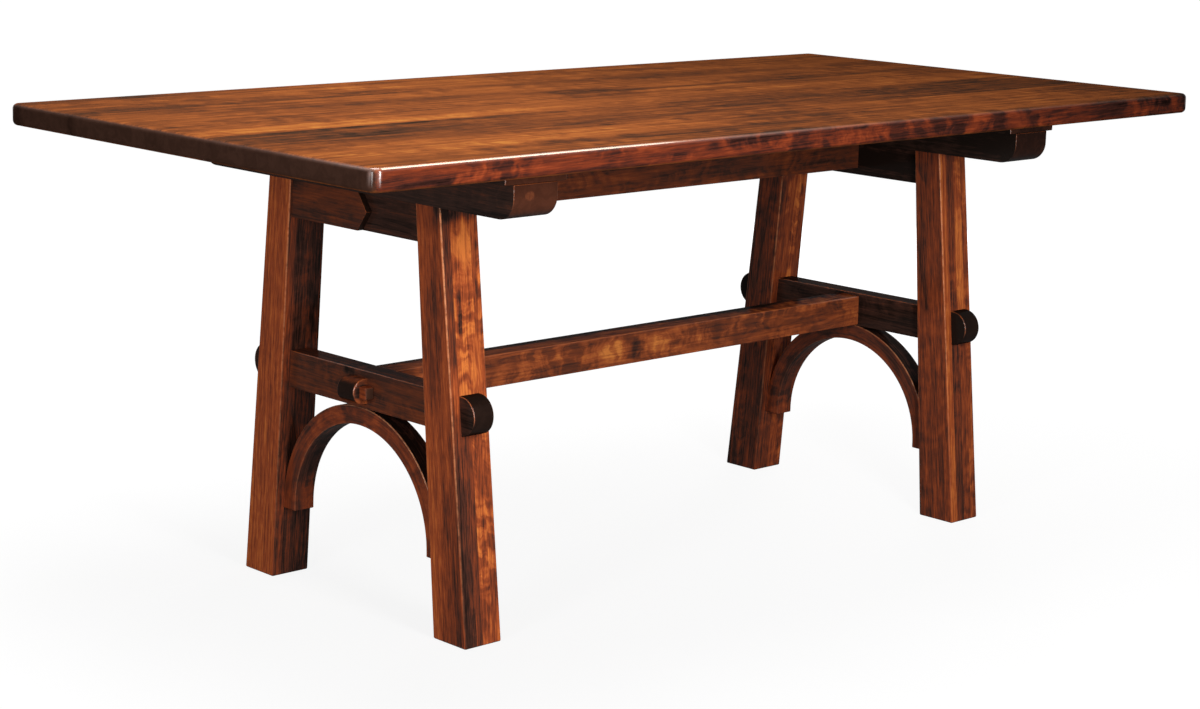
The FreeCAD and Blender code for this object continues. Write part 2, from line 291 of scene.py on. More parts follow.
def make_fibres():
    """Streaks along the grain, fine, narrow and broad, and short dark pores."""
    w, given, result = new_group(
        "fibre_streaks",
        [("Vector", VECTOR, None)],
        [("Fibre", FLOAT), ("Line", FLOAT), ("Streak", FLOAT), ("Pores", FLOAT)],
    )
    fine = w.noise(given["Vector"], (34.0, 560.0, 560.0), 3.0, 0.6)
    narrow = w.noise(given["Vector"], (6.5, 250.0, 250.0), 2.0, 0.55)
    broad = w.noise(given["Vector"], (2.4, 66.0, 66.0), 3.0, 0.6, 0.3)
    pore = w.noise(given["Vector"], (75.0, 1500.0, 1500.0), 1.0)
    w.feed(result["Fibre"], w.swing(fine))
    w.feed(result["Line"], w.swing(narrow))
    w.feed(result["Streak"], w.swing(broad))
    w.feed(result["Pores"], w.ease(pore, 0.66, 0.76))


def make_curl():
    """Broken bands across the grain, as in curly maple, which come and go along the board."""
    w, given, result = new_group(
        "curl_figure",
        [("Vector", VECTOR, None), ("Bands", FLOAT, 60.0)],
        [("Curl", FLOAT)],
    )
    sway = w.math("SUBTRACT", w.noise(given["Vector"], (9.0, 30.0, 30.0), 3.0, 0.6), 0.5)
    bent = w.vector("ADD", given["Vector"], w.joined(X=w.math("MULTIPLY", sway, 0.06)))
    bands = w.noise(bent, w.joined(X=given["Bands"], Y=15.0, Z=15.0), 3.0, 0.6)
    where = w.noise(given["Vector"], (6.0, 26.0, 26.0), 2.0)
    w.feed(result["Curl"], w.math("MULTIPLY", w.swing(bands, 0.17), w.ease(where, 0.38, 0.60)))


def make_blotches():
    """Uneven take-up of the stain: ragged patches, larger along the grain."""
    w, given, result = new_group(
        "stain_blotches",
        [("Vector", VECTOR, None)],
        [("Blotch", FLOAT), ("Drift", FLOAT)],
    )
    patch = w.noise(given["Vector"], (13.0, 48.0, 48.0), 5.0, 0.62, 0.9)
    drift = w.noise(given["Vector"], (1.5, 11.0, 11.0), 2.0)
    w.feed(result["Blotch"], w.swing(patch, 0.18))
    w.feed(result["Drift"], w.swing(drift, 0.25))


def make_arris_rub_and_highlight():
    """Where the stain is rubbed thin on an eased edge, and lighter there as painted highlight."""
    w, given, result = new_group(
        "arris_rub_and_highlight",
        [("Arris", FLOAT, 0.0), ("Vector", VECTOR, None), ("Amount", FLOAT, 0.7)],
        [("Wear And Highlight", FLOAT)],
    )
    broken = w.noise(given["Vector"], (30.0, 90.0, 90.0), 3.0, 0.6)
    rub_and_highlight = w.ease(broken, 0.30, 0.62, 0.25, 1.0)
    share = w.math("MULTIPLY", given["Arris"], rub_and_highlight)
    w.feed(result["Wear And Highlight"], w.math("MULTIPLY", share, given["Amount"], clamp=True))


def make_placed_patch():
    """Soft patch of lighter or darker wood, given by its middle and half sizes in metres."""
    w, given, result = new_group(
        "placed_patch",
        [("Vector", VECTOR, None), ("Middle", VECTOR, None), ("Half Size", VECTOR, None)],
        [("Patch", FLOAT)],
    )
    ragged = w.noise(given["Vector"], (30.0, 30.0, 18.0), 5.0, 0.72)
    away = w.vector("SUBTRACT", given["Vector"], given["Middle"])
    away = w.vector("DIVIDE", away, given["Half Size"])
    reach = w.vector("DOT_PRODUCT", away, away)
    reach = w.math("ADD", reach, w.math("MULTIPLY", w.math("SUBTRACT", ragged, 0.5), 1.8))
    w.feed(result["Patch"], w.ease(reach, 1.4, 0.2))


BASE_ROUGHNESS = 0.38
# Stain from the darkest, where the wood drinks most, to the lightest.
STAIN_STOPS = (
    (0.00, (0.018, 0.0090, 0.0065)),
    (0.22, (0.070, 0.0260, 0.0175)),
    (0.45, (0.230, 0.0490, 0.0190)),
    (0.70, (0.450, 0.0930, 0.0270)),
    (1.00, (0.780, 0.2200, 0.0480)),
)


def make_board_stain():
    """Colour, roughness and relief of a stained board from its grain."""
    w, given, result = new_group(
        "board_stain",
        [
            ("Rings", FLOAT, 0.0),
            ("Fibre", FLOAT, 0.0),
            ("Line", FLOAT, 0.0),
            ("Streak", FLOAT, 0.0),
            ("Pores", FLOAT, 0.0),
            ("Curl", FLOAT, 0.0),
            ("Blotch", FLOAT, 0.0),
            ("Drift", FLOAT, 0.0),
            ("Tone", FLOAT, 0.0),
            ("Figure", FLOAT, 0.3),
            ("Patches", FLOAT, 0.0),
            ("End Grain", FLOAT, 0.0),
            ("Wear And Highlight", FLOAT, 0.0),
            ("Tint", COLOUR, None),
            ("End Colour", COLOUR, None),
            ("Worn And Highlight Colour", COLOUR, None),
            ("Curl Depth", FLOAT, 0.30),
            ("Blotch Depth", FLOAT, 0.26),
            ("Ring Depth", FLOAT, 0.22),
            ("Fibre Depth", FLOAT, 0.05),
            ("Line Depth", FLOAT, 0.10),
            ("Streak Depth", FLOAT, 0.12),
        ],
        [("Color", COLOUR), ("Roughness", FLOAT), ("Height", FLOAT)],
    )
    level = w.math("ADD", 0.5, given["Tone"])
    level = w.math("SUBTRACT", level, w.math("MULTIPLY", given["Rings"], given["Ring Depth"]))
    for mark in ("Fibre", "Line", "Streak"):
        level = w.math("MULTIPLY_ADD", given[mark], given[mark + " Depth"], level)
    figured = w.math("MULTIPLY", given["Curl"], given["Curl Depth"])
    figured = w.math("MULTIPLY_ADD", given["Blotch"], given["Blotch Depth"], figured)
    figured = w.math("MAXIMUM", w.math("MULTIPLY", figured, given["Figure"]), -0.15)
    level = w.math("ADD", figured, level)
    level = w.math("MULTIPLY_ADD", given["Drift"], 0.08, level)
    level = w.math("ADD", level, given["Patches"])
    level = w.math("SUBTRACT", level, w.math("MULTIPLY", given["Pores"], 0.08), clamp=True)
    ramp = w.add("ShaderNodeValToRGB", {"Fac": level})
    stops = ramp.color_ramp.elements
    while len(stops) < len(STAIN_STOPS):
        stops.new(0.5)
    for stop, (position, shade) in zip(stops, STAIN_STOPS):
        stop.position = position
        stop.color = shade + (1.0,)
    colour = w.vector("MULTIPLY", ramp.outputs["Color"], given["Tint"])
    uneven = w.ease(given["Blotch"], -1.0, 1.0, 0.88, 1.12)
    shaded = w.math("MINIMUM", given["Patches"], 0.0)
    uneven = w.math("MAXIMUM", w.math("MULTIPLY_ADD", shaded, 2.5, uneven), 0.3)
    end_colour = w.vector("SCALE", given["End Colour"])
    w.feed(end_colour.node.inputs["Scale"], uneven)
    lit = w.math("MAXIMUM", w.math("SUBTRACT", given["Patches"], 0.2), 0.0)
    drunk = w.math("MULTIPLY_ADD", lit, -2.6, given["End Grain"], clamp=True)
    colour = w.blend(drunk, colour, end_colour)
    # Arrises take the worn colour: wear and painted highlight.
    colour = w.blend(given["Wear And Highlight"], colour, given["Worn And Highlight Colour"])
    w.feed(result["Color"], colour)
    rough = BASE_ROUGHNESS
    for mark, rougher in (("Pores", 0.12), ("Blotch", 0.03), ("End Grain", 0.12)):
        rough = w.math("MULTIPLY_ADD", given[mark], rougher, rough)
    w.feed(result["Roughness"], rough)
    relief = w.math("MULTIPLY", given["Fibre"], 0.25)
    for mark, depth in (("Pores", 0.8), ("Rings", 0.3)):
        relief = w.math("MULTIPLY_ADD", given[mark], -depth, relief)
    w.feed(result["Height"], relief)


def new_material(name):
    """Empty material, and the wiring that fills it."""
    material = bpy.data.materials.new(name)
    material.use_nodes = True
    material.node_tree.nodes.clear()
    return material, Wiring(material.node_tree)


def show_surface(w, shader):
    w.feed(w.add("ShaderNodeOutputMaterial").inputs["Surface"], shader)


NO_TINT = (1.0, 1.0, 1.0, 1)
END_GRAIN_COLOUR = (0.017, 0.0075, 0.0055, 1)
# Lighter colour of rubbed arrises: wear and painted highlight.
WORN_AND_HIGHLIGHT_COLOUR = (0.50, 0.120, 0.030, 1)


def stained_wood(
    name,
    ring_width=0.0048,
    ring_depth=0.22,
    fibre_depth=0.05,
    line_depth=0.10,
    streak_depth=0.12,
    waviness=0.006,
    bands=60.0,
    wear_and_highlight=0.7,
    tone=0.0,
    curl_depth=0.30,
    blotch_depth=0.26,
    tint=NO_TINT,
    side_tint=NO_TINT,
    end=END_GRAIN_COLOUR,
    worn_and_highlight=WORN_AND_HIGHLIGHT_COLOUR,
    patches=(),
    dark_zone=None,
    side_figure=None,
    lacquer=0.05,
    shine_of_arris=0.75,
    coat_ior=1.6,
):
    """Stained hardwood under satin lacquer, thinner where its arrises are rubbed; their lighter colour
    is partly painted highlight.

    patches are (middle, half size, amount), dark_zone is (axis, start, end, amount) on the way
    outwards, and side_figure is (axis, more figure, less tone) for faces that look along the axis.
    """
    material, w = new_material("stained_" + name)
    grain = w.read("grain_at", "Vector")
    along = w.read("grain_along", "Vector")
    normal = w.add("ShaderNodeNewGeometry").outputs["Normal"]
    facing = w.math("ABSOLUTE", w.vector("DOT_PRODUCT", normal, along))
    end_grain = w.ease(facing, 0.45, 0.85)
    place = w.add("ShaderNodeTexCoord").outputs["Object"]
    rings = w.group(
        "growth_rings", {"Vector": grain, "Ring Width": ring_width, "Waviness": waviness}
    )["Rings"]
    fibres = w.group("fibre_streaks", {"Vector": grain})
    curl = w.group("curl_figure", {"Vector": grain, "Bands": bands})["Curl"]
    stain = w.group("stain_blotches", {"Vector": grain})
    arris = w.read("arris")
    rub_and_highlight = w.group("arris_rub_and_highlight", {"Arris": arris, "Vector": place, "Amount": wear_and_highlight})["Wear And Highlight"]
    patched = 0.0
    for middle, half_size, amount in patches:
        patch = w.group("placed_patch", {"Vector": place, "Middle": middle, "Half Size": half_size})
        patched = w.math("MULTIPLY_ADD", patch["Patch"], amount, patched)
    board_tone = w.math("ADD", w.read("board_tone"), tone)
    if dark_zone is not None:
        axis, start, finish, amount = dark_zone
        reach = w.math("ABSOLUTE", w.parts(place)[axis])
        shade = w.ease(reach, start, finish, 0.0, amount)
        endwise = w.math("ABSOLUTE", w.parts(normal)["X"])
        shade = w.math("MULTIPLY", shade, w.ease(endwise, 0.6, 0.95, 1.0, 0.40))
        board_tone = w.math("SUBTRACT", board_tone, shade)
    figure = w.read("figure")
    if side_figure is not None:
        axis, more_figure, less_tone = side_figure
        sideways = w.ease(w.math("ABSOLUTE", w.parts(normal)[axis]), 0.5, 0.9)
        figure = w.math("MULTIPLY_ADD", sideways, more_figure, figure)
        board_tone = w.math("MULTIPLY_ADD", sideways, -less_tone, board_tone)
        tint = w.blend(sideways, tint, side_tint)
    board = w.group(
        "board_stain",
        {
            "Rings": rings,
            **{mark: fibres[mark] for mark in ("Fibre", "Line", "Streak", "Pores")},
            "Curl": curl,
            **{mark: stain[mark] for mark in ("Blotch", "Drift")},
            "Tone": board_tone,
            "Figure": figure,
            "Patches": patched,
            "End Grain": end_grain,
            "Wear And Highlight": rub_and_highlight,
            "Tint": tint,
            "Curl Depth": curl_depth,
            "Blotch Depth": blotch_depth,
            "End Colour": end,
            "Worn And Highlight Colour": worn_and_highlight,
            "Ring Depth": ring_depth,
            "Fibre Depth": fibre_depth,
            "Line Depth": line_depth,
            "Streak Depth": streak_depth,
        },
    )
    bump = w.made(
        "ShaderNodeBump", {"Height": board["Height"], "Strength": 0.25, "Distance": 0.4 * MM}
    )
    shader = w.made(
        "ShaderNodeBsdfPrincipled",
        {
            "Base Color": board["Color"],
            "Roughness": board["Roughness"],
            "Normal": bump,
            "Specular IOR Level": 0.0,
            "Coat Weight": w.math("MULTIPLY_ADD", arris, shine_of_arris, lacquer),
            "Coat Roughness": 0.14,
            "Coat IOR": coat_ior,
        },
    )
    show_surface(w, shader)
    return material


def zinc_steel(name):
    """Zinc-plated steel with fine turning marks and dull blooms."""
    material, w = new_material("stained_" + name)
    place = w.add("ShaderNodeTexCoord").outputs["Object"]
    turned = w.noise(place, (300.0, 300.0, 2600.0), 2.0)
    bloom = w.noise(place, (140.0, 140.0, 140.0), 4.0, 0.6)
    share = w.ease(bloom, 0.40, 0.66)
    colour = w.blend(share, (0.62, 0.63, 0.62, 1), (0.43, 0.42, 0.38, 1))
    rough = w.math("MULTIPLY_ADD", w.swing(turned), 0.06, 0.34)
    rough = w.math("MULTIPLY_ADD", share, 0.14, rough)
    bump = w.made("ShaderNodeBump", {"Height": turned, "Strength": 0.15, "Distance": 0.1 * MM})
    shader = w.made(
        "ShaderNodeBsdfPrincipled",
        {
            "Base Color": colour,
            "Roughness": rough,
            "Metallic": 1.0,
            "Normal": bump,
        },
    )
    show_surface(w, shader)
    return material


def plain_dowel_wood(name):
    """Bare beech dowel, its grain along its length across the table."""
    material, w = new_material("stained_" + name)
    place = w.add("ShaderNodeTexCoord").outputs["Object"]
    lengthwise = w.vector("MULTIPLY", place, (1.0, 0.04, 1.0))
    streak = w.noise(lengthwise, (520.0, 520.0, 520.0), 3.0, 0.6)
    fleck = w.noise(lengthwise, (1500.0, 3000.0, 1500.0), 1.0)
    colour = w.blend(w.swing(streak), (0.36, 0.21, 0.10, 1), (0.55, 0.36, 0.20, 1))
    colour = w.blend(w.ease(fleck, 0.62, 0.72, 0.0, 0.6), colour, (0.24, 0.12, 0.05, 1))
    bump = w.made("ShaderNodeBump", {"Height": streak, "Strength": 0.2, "Distance": 0.2 * MM})
    shader = w.made(
        "ShaderNodeBsdfPrincipled",
        {
            "Base Color": colour,
            "Roughness": w.math("MULTIPLY_ADD", fleck, 0.2, 0.5),
            "Normal": bump,
        },
    )
    show_surface(w, shader)
    return material


# ---------------------------------------------------------------- floor, sky and lamps

# Lamps that light the floor: name, place, target, width, height and watts.
FLOOR_LAMPS = (
    ("key_softbox", (-0.75, -2.15, 1.08), (-0.3, -0.1, 0.5), 0.5, 1.7, 36),
    ("side_softbox", (-3.0, -1.05, 0.98), (-0.4, -0.1, 0.45), 0.5, 1.6, 27),
    ("overhead_softbox", (-0.6, 0.1, 2.2), (-0.4, 0.0, 0.7), 1.2, 0.9, 30),
)
# Share of the lamps' light that the white floor shows, so that its shadows are faint.
SEEN_FLOOR = 0.13
# Light that a floor point sends back for each watt on a square metre.
LAMP_SHARE = 0.0924


def light_on_floor(w, place):
    """Light that reaches an open floor point from the sky and the lamps, each taken as two points."""
    total = sky_light
    for _, stand, target, _, height, watts in FLOOR_LAMPS:
        facing = (Vector(target) - Vector(stand)).normalized()
        upright = (UP - UP.dot(facing) * facing).normalized()
        for way in (-0.25, 0.25):
            source = Vector(stand) + upright * height * way
            away = w.vector("SUBTRACT", source, place)
            reach = w.vector("DOT_PRODUCT", away, away)
            slant = w.vector("DOT_PRODUCT", away, -facing)
            slant = w.math("MULTIPLY", w.math("MAXIMUM", slant, 0.0), w.parts(away)["Z"])
            spread = w.math("DIVIDE", slant, w.math("MULTIPLY", reach, reach))
            total = w.math("MULTIPLY_ADD", spread, watts / 2 * LAMP_SHARE, total)
    return total


def seen_directly(w):
    """1 where the camera looks, also by way of metal or glass, and 0 for other light."""
    path = w.add("ShaderNodeLightPath").outputs
    seen = w.math("MAXIMUM", path["Is Camera Ray"], path["Is Glossy Ray"])
    return w.math("MAXIMUM", seen, path["Is Transmission Ray"])


def make_floor():
    """Pale floor that looks white apart from the table's shadow."""
    bm = bmesh.new()
    bmesh.ops.create_grid(bm, x_segments=1, y_segments=1, size=floor_reach)
    mesh = bpy.data.meshes.new("floor")
    bm.to_mesh(mesh)
    bm.free()
    floor = bpy.data.objects.new("floor", mesh)
    scene.collection.objects.link(floor)
    material, w = new_material("pale_floor")
    seen = seen_directly(w)
    place = w.add("ShaderNodeTexCoord").outputs["Object"]
    mottle = w.noise(place, (3.0, 3.0, 3.0), 3.0)
    pale = w.ease(mottle, 0.3, 0.7, 0.98 * SEEN_FLOOR, 1.02 * SEEN_FLOOR)
    grey = w.made("ShaderNodeCombineColor", {"Red": pale, "Green": pale, "Blue": pale})
    shown = w.blend(seen, (0.22, 0.21, 0.20, 1), grey)
    matt = w.made("ShaderNodeBsdfDiffuse", {"Color": shown})
    rest = w.math("MULTIPLY_ADD", light_on_floor(w, place), -SEEN_FLOOR, 1.01)
    glow = w.made(
        "ShaderNodeEmission", {"Color": (1, 1, 1, 1), "Strength": w.math("MULTIPLY", seen, rest)}
    )
    both = w.add("ShaderNodeAddShader")
    w.feed(both.inputs[0], matt)
    w.feed(both.inputs[1], glow)
    show_surface(w, both.outputs[0])
    mesh.materials.append(material)


def make_sky():
    """White surroundings that light the table only faintly."""
    world = bpy.data.worlds.new("studio")
    world.use_nodes = True
    world.node_tree.nodes.clear()
    w = Wiring(world.node_tree)
    strength = w.math("MULTIPLY_ADD", seen_directly(w), 1.0 - sky_light, sky_light)
    sky = w.made("ShaderNodeBackground", {"Color": (1, 1, 1, 1), "Strength": strength})
    w.feed(w.add("ShaderNodeOutputWorld").inputs["Surface"], sky)
    scene.world = world
    scene.view_settings.view_transform = "Standard"


def make_lamps():
    for lamp in FLOOR_LAMPS:
        soft_light(*lamp)
    soft_light("fill_softbox", (3.2, 2.0, 0.60), (0.2, 0.1, 0.42), 1.6, 0.9, 55, matt_only=True)
    above_front_edge = (-0.16, -0.39, 1.35)
    front_edge = (-0.16, -0.39, 0.7)
    warm = (1.0, 0.90, 0.74)
    soft_light(
        "glint_softbox", above_front_edge, front_edge, 0.75, 0.55, 12, tint=warm, gloss_only=True
    )


# ---------------------------------------------------------------- pieces

def log_start(seed):
    """Where along its log a board was sawn, so that no two boards show the same grain."""
    return random.Random(seed).uniform(2.0, 60.0)


class Grain:
    """How a board was cut from its log: the way its grain runs and where the heart lies."""

    def __init__(self, along, across, middle, heart, lean, seed):
        self.along = Vector(along).normalized()
        flat = Vector(across) - Vector(across).dot(self.along) * self.along
        self.across = flat.normalized()
        self.deep = self.along.cross(self.across)
        self.middle = Vector(middle)
        self.heart = heart
        self.lean = lean
        self.start = log_start(seed)

    def at(self, point):
        """Place in the log: along it, and the two ways out from its heart."""
        away = point - self.middle
        u = away.dot(self.along)
        v = away.dot(self.across) - self.heart[0] - self.lean[0] * u
        w = away.dot(self.deep) - self.heart[1] - self.lean[1] * u
        return (u + self.start, v, w)

    def way(self, point):
        return self.along


class BentGrain:
    """Grain of a rib bent round a half circle, with straight feet below its centre."""

    def __init__(self, centre, radius, seed):
        self.centre = Vector(centre)
        self.radius = radius
        self.start = log_start(seed)

    def at(self, point):
        away = point - self.centre
        reach = math.hypot(away.y, max(away.z, 0.0))
        turn = math.atan2(max(away.z, 0.0), away.y)
        u = self.radius * turn + math.copysign(min(away.z, 0.0), away.y)
        return (u + self.start, away.x + 0.04, reach - self.radius)

    def way(self, point):
        away = point - self.centre
        if away.z <= 0.0:
            return UP
        return Vector((0.0, -away.z, away.y)).normalized()


def even_normals(piece):
    """Lets flat faces shade flat and eased edges shade round, then keeps only the mesh."""
    modifier = piece.modifiers.new("even_normals", "WEIGHTED_NORMAL")
    modifier.keep_sharp = True
    modifier.weight = 100
    keep_plain_mesh(piece)


def keep_plain_mesh(piece):
    """Turns the piece with its modifiers into a plain mesh."""
    bpy.context.view_layer.update()
    found = piece.evaluated_get(bpy.context.evaluated_depsgraph_get())
    mesh = bpy.data.meshes.new_from_object(found)
    old = piece.data
    mesh.name = piece.name
    piece.modifiers.clear()
    piece.data = mesh
    bpy.data.meshes.remove(old)


def settle(piece, body, material, replaced):
    """Gives a piece its finish, its body and the solids that it stands for."""
    piece.data.materials.clear()
    piece.data.materials.append(material)
    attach(piece, body)
    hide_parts(*replaced)


def carry_grain(bm, grain, tone, figure, front_tone=0.0):
    """Marks sharp edges and stores the board's grain, tone and figure on its points.

    front_tone is added on faces towards the front; on the far left leg it is painted shade.
    Wear and painted highlight fade out on arrises that look down, from level to none_below.
    """
    level = 0.05
    none_below = -0.25
    bm.normal_update()
    for edge in bm.edges:
        edge.smooth = len(edge.link_faces) != 2 or edge.calc_face_angle(0.0) <= crease_angle
    for face in bm.faces:
        face.smooth = True
    layers = bm.verts.layers
    at = layers.float_vector.new("grain_at")
    along = layers.float_vector.new("grain_along")
    board_tone = layers.float.new("board_tone")
    board_figure = layers.float.new("figure")
    arris = layers.float["arris"]
    for vertex in bm.verts:
        vertex[at] = grain.at(vertex.co)
        vertex[along] = grain.way(vertex.co)
        to_front = any(face.normal.y < -0.75 for face in vertex.link_faces)
        vertex[board_tone] = tone + (front_tone if to_front else 0.0)
        vertex[board_figure] = figure
        up = (vertex.normal.z - none_below) / (level - none_below)
        vertex[arris] *= min(max(up, 0.0), 1.0)


def finish_board(node, parts, material, body="table"):
    """Turns (bmesh, grain, tone, figure, front tone) parts into the finished board of a node."""
    name = node + "_dressed"
    whole = bmesh.new()
    for bm, grain, tone, figure, front_tone in parts:
        carry_grain(bm, grain, tone, figure, front_tone)
        part = bpy.data.meshes.new(name)
        bm.to_mesh(part)
        bm.free()
        whole.from_mesh(part)
        bpy.data.meshes.remove(part)
    mesh = bpy.data.meshes.new(name)
    whole.to_mesh(mesh)
    whole.free()
    piece = bpy.data.objects.new(name, mesh)
    scene.collection.objects.link(piece)
    even_normals(piece)
    settle(piece, body, material, [node])


def tree_of(node_names):
    """Search tree over the meshes of the named solids."""
    vertices = []
    polygons = []
    for name in node_names:
        mesh = nodes[name].data
        start = len(vertices)
        vertices.extend(vertex.co.copy() for vertex in mesh.vertices)
        polygons.extend([start + index for index in face.vertices] for face in mesh.polygons)
    return BVHTree.FromPolygons(vertices, polygons)


def touches(edge, neighbours):
    """Whether most of an edge lies against a neighbouring board."""
    first, second = edge.verts[0].co, edge.verts[1].co
    hits = 0
    for share in (0.2, 0.5, 0.8):
        nearest, *_ = neighbours.find_nearest(first.lerp(second, share), contact_distance)
        hits += nearest is not None
    return hits >= 2


def ease_edges(bm, edges, radius):
    """Rounds edges, and returns the faces of the rounds."""
    eased = bmesh.ops.bevel(
        bm,
        geom=edges,
        offset=radius,
        offset_type="OFFSET",
        segments=arris_steps,
        profile=0.5,
        affect="EDGES",
        clamp_overlap=True,
    )
    return set(eased["faces"])


def cut_board(node_name, ease_radius, rub_and_highlight_to_ends=False):
    """Copy of a solid's faces with every free outer edge eased by hand plane.

    rub_and_highlight_to_ends carries the wear and painted highlight of the long arrises on to the
    board's sawn ends.
    """
    bm = bmesh.new()
    bm.from_mesh(nodes[node_name].data)
    bmesh.ops.remove_doubles(bm, verts=bm.verts, dist=merge_distance)
    bmesh.ops.dissolve_limit(bm, angle_limit=flat_angle, verts=bm.verts, edges=bm.edges)
    others = tree_of([name for name in nodes if name != node_name])
    sharp = [
        edge
        for edge in bm.edges
        if edge.is_convex
        and len(edge.link_faces) == 2
        and edge.calc_face_angle(0.0) > arris_angle
        and not touches(edge, others)
    ]
    arris = bm.verts.layers.float.new("arris")
    strip = ease_edges(bm, sharp, ease_radius)
    for face in strip:
        for vertex in face.verts:
            if all(near in strip for near in vertex.link_faces):
                vertex[arris] = 1.0
    if rub_and_highlight_to_ends:
        for edge in bm.edges:
            inside = len(edge.link_faces) == 2 and strip.issuperset(edge.link_faces)
            if inside and edge.calc_length() > long_arris and edge.calc_face_angle(0.0) > round_step:
                for vertex in edge.verts:
                    vertex[arris] = 1.0
    return bm


def saw_off(bm, point, way):
    """Takes away what lies beyond a plane, and closes the cut."""
    cut = bmesh.ops.bisect_plane(
        bm,
        geom=bm.verts[:] + bm.edges[:] + bm.faces[:],
        dist=saw_distance,
        plane_co=point,
        plane_no=way,
        clear_outer=True,
    )
    edges = [item for item in cut["geom_cut"] if isinstance(item, bmesh.types.BMEdge)]
    if edges:
        bmesh.ops.holes_fill(bm, edges=edges, sides=0)


def middle_of(node_name):
    low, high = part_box(node_name)
    return (low + high) / 2


# ---------------------------------------------------------------- the top

# Share of wear and painted highlight of the upper arris at the corners, and at places along the left end
# and the front.
CORNERS_RUB_AND_HIGHLIGHT = ((1, 1, 0.10), (-1, 1, 0.10), (-1, -1, 1.0), (1, -1, 0.05))
LEFT_END_RUB_AND_HIGHLIGHT = ((0.0, 0.10), (-0.25, 0.20), (-0.35, 0.45))
FRONT_RUB_AND_HIGHLIGHT = ((-0.25, 0.75), (0.15, 0.22))


def slab_outline(half_length, half_width, inset, steps):
    """Rectangle with rounded corners pulled in by inset: (point, corner shine, share of wear and painted
    highlight).
    """
    radius = top_corner_radius - inset
    points = []
    for quarter, (sx, sy, rub_and_highlight) in enumerate(CORNERS_RUB_AND_HIGHLIGHT):
        centre = Vector(
            (sx * (half_length - top_corner_radius), sy * (half_width - top_corner_radius))
        )
        for step in range(steps + 1):
            turn = math.pi / 2 * step / steps
            angle = math.pi / 2 * quarter + turn
            point = centre + radius * Vector((math.cos(angle), math.sin(angle)))
            points.append((point, math.sin(4 * turn) ** 4, rub_and_highlight))
        if (sx, sy) == (-1, 1):
            for across, share in LEFT_END_RUB_AND_HIGHLIGHT:
                points.append((Vector((inset - half_length, across)), 0.0, share))
        elif (sx, sy) == (-1, -1):
            for along, share in FRONT_RUB_AND_HIGHLIGHT:
                points.append((Vector((along, inset - half_width)), 0.0, share))
    return points


def make_slab(half_length, half_width, low, high):
    """Whole top as one closed slab with rounded corners and edges."""
    corner_steps = 8
    round_steps = 6
    # Wear and painted highlight down the corners are dim on the lower round.
    wear_and_highlight_below = 0.1
    lower = []
    upper = []
    for step in range(round_steps + 1):
        angle = math.pi / 2 * step / round_steps
        inset = top_edge_round * (1 - math.sin(angle))
        rise = top_edge_round * (1 - math.cos(angle))
        upright = math.sin(angle) ** 4
        lower.append((inset, low + rise, 0.0, wear_and_highlight_below * upright))
        upper.append((inset, high - rise, math.sin(2 * angle) ** 8, upright))
    levels = lower + upper[::-1]
    bm = bmesh.new()
    arris = bm.verts.layers.float.new("arris")
    rings = []
    for inset, height, worn_and_highlight, upright in levels:
        ring = []
        outline = slab_outline(half_length, half_width, inset, corner_steps)
        for point, turned, share in outline:
            vertex = bm.verts.new((point.x, point.y, height))
            # Wear and painted highlight on the upper round, and in streaks down the corners.
            vertex[arris] = max(worn_and_highlight * share, turned * upright)
            ring.append(vertex)
        rings.append(ring)
    count = len(rings[0])
    for below, above in zip(rings, rings[1:]):
        for index in range(count):
            after = (index + 1) % count
            bm.faces.new((below[index], below[after], above[after], above[index]))
    bm.faces.new(rings[0][::-1])
    bm.faces.new(rings[-1])
    return bm


def make_top(material):
    """Five planks, each sawn out of the whole slab at its seams."""
    low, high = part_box("top_plank_front")
    back_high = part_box("top_plank_back")[1]
    half_length = high.x
    half_width = back_high.y
    # Heart of each plank's log, its lean to the plank, and the plank's tone and figure.
    planks = {
        "back": ((0.030, -0.075), (0.006, 0.030), 0.02, 0.30),
        "mid_back": ((-0.040, -0.120), (-0.010, 0.024), 0.00, 0.26),
        "centre": ((0.060, -0.060), (0.004, -0.016), 0.05, 0.28),
        "mid_front": ((0.020, -0.060), (0.012, -0.040), -0.06, 0.24),
        "front": ((-0.050, -0.095), (-0.008, 0.030), 0.02, 0.34),
    }
    for order, (place, (heart, lean, tone, figure)) in enumerate(planks.items()):
        node = "top_plank_" + place
        plank_low, plank_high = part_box(node)
        bm = make_slab(half_length, half_width, low.z, high.z)
        saw_off(bm, (0, plank_low.y, 0), (0, -1, 0))
        saw_off(bm, (0, plank_high.y, 0), (0, 1, 0))
        grain = Grain(ALONG, ACROSS, middle_of(node), heart, lean, TOP_SEED + order)
        finish_board(node, [(bm, grain, tone, figure, 0.0)], material)


# ---------------------------------------------------------------- trestles and rails

# Slopes at which legs and rails were sawn out of line with their logs.
LEG_LEAN = (0.02, 0.01)
RAIL_LEAN = (0.01, 0.02)
# Where the heart of a leg board's log lies from the middle of the board, in metres.
LEG_HEARTS = {
    "outer_board": (0.055, 0.000),
    "inner_board": (-0.060, 0.010),
    "core_upper": (0.050, 0.012),
    "core_lower": (0.070, -0.006),
}
